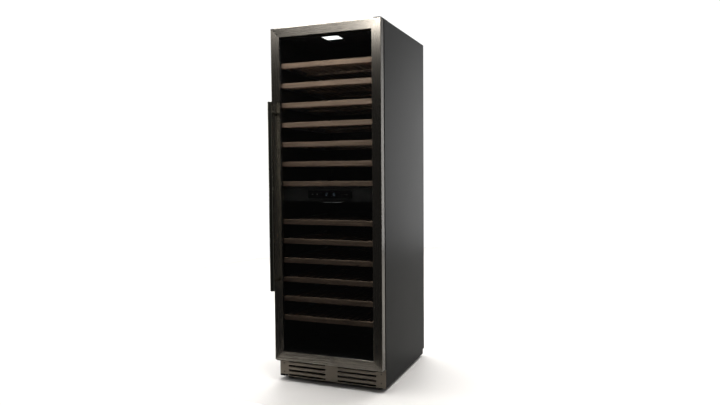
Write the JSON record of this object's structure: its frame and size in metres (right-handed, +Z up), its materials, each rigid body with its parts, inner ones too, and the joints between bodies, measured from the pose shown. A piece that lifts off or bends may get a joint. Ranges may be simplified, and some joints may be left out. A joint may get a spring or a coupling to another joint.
{
  "type": "wine cooler",
  "caption": "Tall free-standing dual-zone wine cooler: framed glass door on the right hinge, bar handle, sliding wooden shelves and a louvred plinth.",
  "frame": {"origin": "on the floor, at the centre of the footprint, handle and rear screw heads included", "axes": "+Z up, -Y towards the door's face, +X to the right of a person facing the door"},
  "size_m": [0.595, 0.7691, 1.8146],
  "materials": {
    "painted_steel": "satin",
    "galvanised_steel": "satin",
    "foam": "matte",
    "black_plastic": "satin",
    "gloss_black": "gloss",
    "fin_aluminium": "satin",
    "spacer_aluminium": "satin",
    "lamp_lens": "satin",
    "compressor_paint": "satin",
    "rubber": "matte",
    "copper": "satin",
    "brushed_stainless": "satin",
    "handle_steel": "satin",
    "dark_steel": "satin",
    "zinc_steel": "satin",
    "tinted_glass": "gloss",
    "clear_glass": "gloss",
    "nylon": "satin",
    "foot_plastic": "matte",
    "shelf_wood": "satin"
  },
  "bodies": {
    "cabinet": {"left_side_panel": "painted_steel", "right_side_panel": "painted_steel", "top_panel": "painted_steel", "back_panel": "galvanised_steel", "rear_grille": "painted_steel", "base_pan": "galvanised_steel", "foam_insulation": "foam", "upper_liner": "black_plastic", "lower_liner": "black_plastic", "zone_divider": "black_plastic", "duct_covers": "black_plastic", "evaporators": "fin_aluminium", "lamp_housings": "black_plastic", "lamp_lenses": "lamp_lens", "control_panel": "gloss_black", "compressor": "compressor_paint", "compressor_mounts": "rubber", "condenser_coil": "fin_aluminium", "fan_frames": "black_plastic", "drip_tray": "black_plastic", "refrigerant_pipes": "copper", "power_inlet": "black_plastic", "plinth_grille": "brushed_stainless", "hinge_brackets": "dark_steel", "door_rest_plate": "dark_steel", "shelf_runners": "zinc_steel", "case_screws": "zinc_steel"},
    "door": {"door_frame": "brushed_stainless", "door_inner_frame": "black_plastic", "outer_glass": "tinted_glass", "inner_glass": "clear_glass", "glass_spacer": "spacer_aluminium", "door_gasket": "rubber", "handle_bar": "handle_steel", "handle_posts": "handle_steel", "hinge_bushes": "nylon"},
    "upper_fan_rotor": {"upper_fan_rotor": "black_plastic"},
    "lower_fan_rotor": {"lower_fan_rotor": "black_plastic"},
    "condenser_fan_rotor": {"condenser_fan_rotor": "black_plastic"},
    "power_button": {"power_button": "gloss_black"},
    "light_button": {"light_button": "gloss_black"},
    "warmer_button": {"warmer_button": "gloss_black"},
    "cooler_button": {"cooler_button": "gloss_black"},
    "front_left_foot": {"front_left_foot": "foot_plastic"},
    "front_right_foot": {"front_right_foot": "foot_plastic"},
    "rear_left_foot": {"rear_left_foot": "foot_plastic"},
    "rear_right_foot": {"rear_right_foot": "foot_plastic"},
    "shelf_01": {"shelf_01": "shelf_wood"},
    "shelf_02": {"shelf_02": "shelf_wood"},
    "shelf_03": {"shelf_03": "shelf_wood"},
    "shelf_04": {"shelf_04": "shelf_wood"},
    "shelf_05": {"shelf_05": "shelf_wood"},
    "shelf_06": {"shelf_06": "shelf_wood"},
    "shelf_07": {"shelf_07": "shelf_wood"},
    "shelf_08": {"shelf_08": "shelf_wood"},
    "shelf_09": {"shelf_09": "shelf_wood"},
    "shelf_10": {"shelf_10": "shelf_wood"},
    "shelf_11": {"shelf_11": "shelf_wood"},
    "shelf_12": {"shelf_12": "shelf_wood"},
    "shelf_13": {"shelf_13": "shelf_wood"}
  },
  "joints": [
    {"name": "door_hinge", "type": "hinge", "parent": "cabinet", "child": "door", "pos_m": [0.284, -0.29505, 0.96], "axis": [0, 0, 1], "range_deg": [0, 115]},
    {"name": "upper_fan_spin", "type": "hinge", "parent": "cabinet", "child": "upper_fan_rotor", "pos_m": [0, 0.28045, 1.634], "axis": [0, -1, 0], "continuous": true},
    {"name": "lower_fan_spin", "type": "hinge", "parent": "cabinet", "child": "lower_fan_rotor", "pos_m": [0, 0.28045, 0.803], "axis": [0, -1, 0], "continuous": true},
    {"name": "condenser_fan_spin", "type": "hinge", "parent": "cabinet", "child": "condenser_fan_rotor", "pos_m": [0.118, 0.23295, 0.0792], "axis": [0, -1, 0], "continuous": true},
    {"name": "front_left_foot_turn", "type": "hinge", "parent": "cabinet", "child": "front_left_foot", "pos_m": [-0.25, -0.23105, 0], "axis": [0, 0, 1], "continuous": true},
    {"name": "front_right_foot_turn", "type": "hinge", "parent": "cabinet", "child": "front_right_foot", "pos_m": [0.25, -0.23105, 0], "axis": [0, 0, 1], "continuous": true},
    {"name": "rear_left_foot_turn", "type": "hinge", "parent": "cabinet", "child": "rear_left_foot", "pos_m": [-0.25, 0.33895, 0], "axis": [0, 0, 1], "continuous": true},
    {"name": "rear_right_foot_turn", "type": "hinge", "parent": "cabinet", "child": "rear_right_foot", "pos_m": [0.25, 0.33895, 0], "axis": [0, 0, 1], "continuous": true},
    {"name": "power_button_press", "type": "slide", "parent": "cabinet", "child": "power_button", "axis": [0, 1, 0], "range_m": [0, 0.001], "stiffness_N_per_m": 300},
    {"name": "light_button_press", "type": "slide", "parent": "cabinet", "child": "light_button", "axis": [0, 1, 0], "range_m": [0, 0.001], "stiffness_N_per_m": 300},
    {"name": "warmer_button_press", "type": "slide", "parent": "cabinet", "child": "warmer_button", "axis": [0, 1, 0], "range_m": [0, 0.001], "stiffness_N_per_m": 300},
    {"name": "cooler_button_press", "type": "slide", "parent": "cabinet", "child": "cooler_button", "axis": [0, 1, 0], "range_m": [0, 0.001], "stiffness_N_per_m": 300},
    {"name": "shelf_01_slide", "type": "slide", "parent": "cabinet", "child": "shelf_01", "axis": [0, -1, 0], "range_m": [0, 0.018]},
    {"name": "shelf_02_slide", "type": "slide", "parent": "cabinet", "child": "shelf_02", "axis": [0, -1, 0], "range_m": [0, 0.018]},
    {"name": "shelf_03_slide", "type": "slide", "parent": "cabinet", "child": "shelf_03", "axis": [0, -1, 0], "range_m": [0, 0.018]},
    {"name": "shelf_04_slide", "type": "slide", "parent": "cabinet", "child": "shelf_04", "axis": [0, -1, 0], "range_m": [0, 0.018]},
    {"name": "shelf_05_slide", "type": "slide", "parent": "cabinet", "child": "shelf_05", "axis": [0, -1, 0], "range_m": [0, 0.018]},
    {"name": "shelf_06_slide", "type": "slide", "parent": "cabinet", "child": "shelf_06", "axis": [0, -1, 0], "range_m": [0, 0.018]},
    {"name": "shelf_07_slide", "type": "slide", "parent": "cabinet", "child": "shelf_07", "axis": [0, -1, 0], "range_m": [0, 0.018]},
    {"name": "shelf_08_slide", "type": "slide", "parent": "cabinet", "child": "shelf_08", "axis": [0, -1, 0], "range_m": [0, 0.018]},
    {"name": "shelf_09_slide", "type": "slide", "parent": "cabinet", "child": "shelf_09", "axis": [0, -1, 0], "range_m": [0, 0.018]},
    {"name": "shelf_10_slide", "type": "slide", "parent": "cabinet", "child": "shelf_10", "axis": [0, -1, 0], "range_m": [0, 0.018]},
    {"name": "shelf_11_slide", "type": "slide", "parent": "cabinet", "child": "shelf_11", "axis": [0, -1, 0], "range_m": [0, 0.018]},
    {"name": "shelf_12_slide", "type": "slide", "parent": "cabinet", "child": "shelf_12", "axis": [0, -1, 0], "range_m": [0, 0.018]},
    {"name": "shelf_13_slide", "type": "slide", "parent": "cabinet", "child": "shelf_13", "axis": [0, -1, 0], "range_m": [0, 0.018]}
  ]
}
